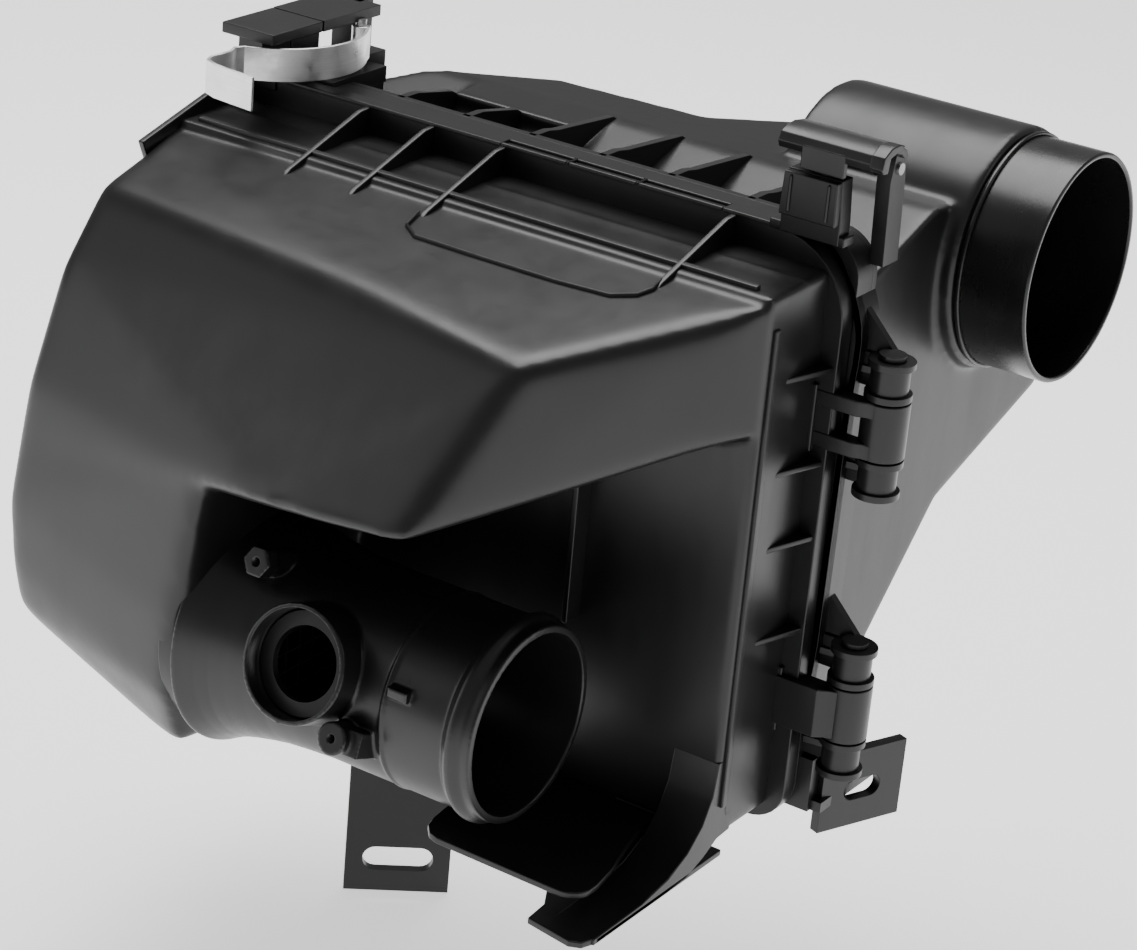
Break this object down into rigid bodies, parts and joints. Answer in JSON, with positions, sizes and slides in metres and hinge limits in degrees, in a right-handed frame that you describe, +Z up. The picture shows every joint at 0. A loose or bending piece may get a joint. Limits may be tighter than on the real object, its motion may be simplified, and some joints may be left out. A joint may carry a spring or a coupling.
{
  "type": "engine air filter housing",
  "caption": "Hinged two-part engine air filter housing with inlet duct, sensor-port outlet tube, steel spring clips and mounting brackets.",
  "frame": {"origin": "on the front face of the left mounting bracket, 20 mm above the middle of its slot", "axes": "X runs along the parting flange towards both duct mouths, Y from the cap to the case, Z up"},
  "size_m": [0.3094, 0.3121, 0.3425],
  "materials": {
    "black_housing_plastic": "satin moulded",
    "black_tube_plastic": "satin moulded",
    "black_duct_plastic": "semi-gloss moulded",
    "latch_plastic": "satin moulded",
    "spring_steel": "bright zinc plated",
    "pin_steel": "drawn",
    "seal_rubber": "soft moulded",
    "filter_paper": "pleated, matt"
  },
  "bodies": {
    "case": {"case_shell": "black_housing_plastic", "inlet_duct": "black_duct_plastic", "filter_seal": "seal_rubber", "filter_frame": "black_tube_plastic", "filter_media": "filter_paper", "filter_screen": "pin_steel", "upper_hinge_pin": "latch_plastic", "lower_hinge_pin": "latch_plastic", "upper_clip_pin": "pin_steel", "lower_clip_pin": "pin_steel", "latch_pin": "pin_steel"},
    "cap": {"cap_shell": "black_housing_plastic", "outlet_tube": "black_tube_plastic", "flow_straightener": "black_tube_plastic", "sensor_port_liner": "black_tube_plastic"},
    "upper_clip": {"upper_spring_clip": "spring_steel"},
    "lower_clip": {"lower_spring_clip": "spring_steel"},
    "top_latch": {"top_latch": "latch_plastic"}
  },
  "joints": [
    {"name": "cap_opening", "type": "hinge", "parent": "case", "child": "cap", "pos_m": [0.18, 0, 0.16], "axis": [0, 0, 1], "range_deg": [0, 85]},
    {"name": "upper_clip_release", "type": "hinge", "parent": "case", "child": "upper_clip", "pos_m": [-0.056, 0.02, 0.2855], "axis": [0, 0, 1], "range_deg": [0, 105]},
    {"name": "lower_clip_release", "type": "hinge", "parent": "case", "child": "lower_clip", "pos_m": [-0.101, 0.02, 0.106], "axis": [0, 0, -1], "range_deg": [0, 105]},
    {"name": "top_latch_lift", "type": "hinge", "parent": "case", "child": "top_latch", "pos_m": [0.153, 0.01, 0.297], "axis": [-1, 0, 0], "range_deg": [0, 95]}
  ]
}
